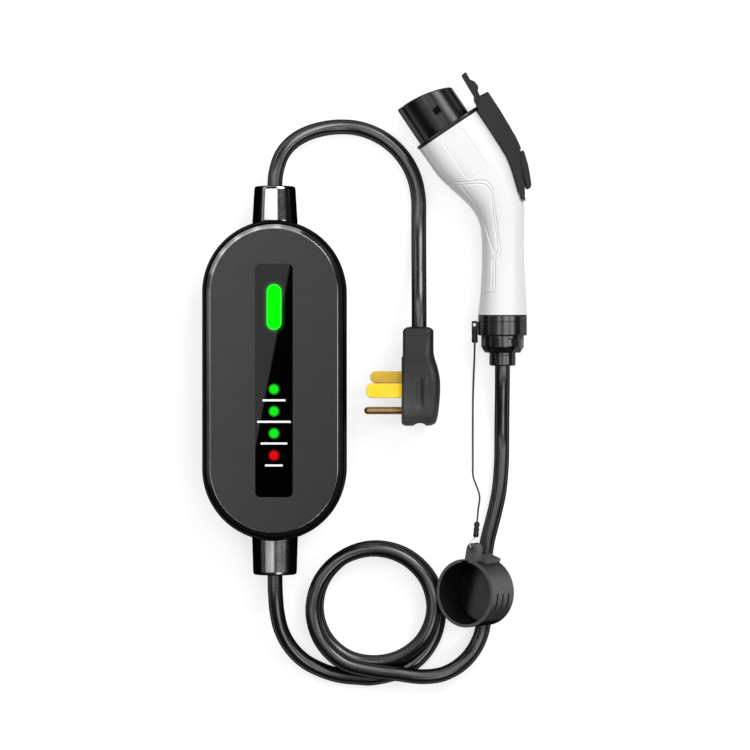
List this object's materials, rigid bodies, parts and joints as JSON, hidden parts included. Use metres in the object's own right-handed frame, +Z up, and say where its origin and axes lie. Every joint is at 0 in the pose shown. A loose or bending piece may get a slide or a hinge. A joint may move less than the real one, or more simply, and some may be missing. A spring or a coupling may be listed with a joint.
{
  "type": "portable ev charger",
  "caption": "Portable charger for electric cars: long control box with lit window, mains lead with right-angle plug, coiled vehicle lead, gun with thumb latch and tethered dust cap.",
  "frame": {"origin": "centre of the control box's back face, on the floor that the charger lies on", "axes": "+Y along the box towards the mains lead, +Z up out of the box's face, +X to the side of the plug and gun"},
  "size_m": [0.2654, 0.4981, 0.0573],
  "materials": {
    "case_black": "gloss",
    "face_grey": "fine grain",
    "seal_rubber": "matte",
    "steel": "satin",
    "window_black": "polished",
    "green_lens": "lit",
    "red_lens": "lit",
    "board_green": "satin",
    "inner_plastic": "matte",
    "gland_rubber": "satin",
    "cable_rubber": "satin",
    "plug_grey": "matte",
    "prong_brass": "polished",
    "contact_brass": "satin",
    "shell_white": "satin",
    "gun_black": "satin",
    "lanyard_black": "satin",
    "cap_rubber": "matte"
  },
  "bodies": {
    "charger": {"rear_cover": "case_black", "front_cover": "face_grey", "case_seal": "seal_rubber", "case_screws": "steel", "display_window": "window_black", "light_bar": "green_lens", "status_lights_green": "green_lens", "status_light_red": "red_lens", "indicator_board": "board_green", "main_board": "board_green", "relays": "inner_plastic", "current_sensor": "inner_plastic", "power_module": "inner_plastic", "cable_clamps": "inner_plastic", "mains_gland": "gland_rubber", "output_gland": "gland_rubber", "mains_cable": "cable_rubber", "plug_body": "plug_grey", "hot_blades": "prong_brass", "neutral_blade": "prong_brass", "ground_pin": "prong_brass", "output_cable": "cable_rubber", "gun_shell_near": "shell_white", "gun_shell_far": "shell_white", "shell_posts": "steel", "flange_seal": "seal_rubber", "nozzle": "gun_black", "contact_insert": "gun_black", "power_contacts": "contact_brass", "earth_contact": "contact_brass", "signal_contacts": "contact_brass", "top_cover": "gun_black", "latch_pin": "steel", "latch_spring": "steel", "handle_collar": "gun_black", "clamp_nut": "gun_black", "gland_sleeve": "gland_rubber", "lanyard_clip": "lanyard_black", "lanyard_cord": "lanyard_black", "lanyard_crimp": "lanyard_black", "wire_link": "steel", "dust_cap": "cap_rubber"},
    "latch": {"latch_lever": "gun_black"}
  },
  "joints": [
    {"name": "latch_pivot", "type": "hinge", "parent": "charger", "child": "latch", "pos_m": [0.17902, 0.20657, 0.02542], "axis": [-0.0084, 0.0316, -0.9995], "range_deg": [0, 5], "stiffness_Nm_per_rad": 0.6, "springref_deg": -5.73, "deforming": ["latch_spring"]}
  ]
}
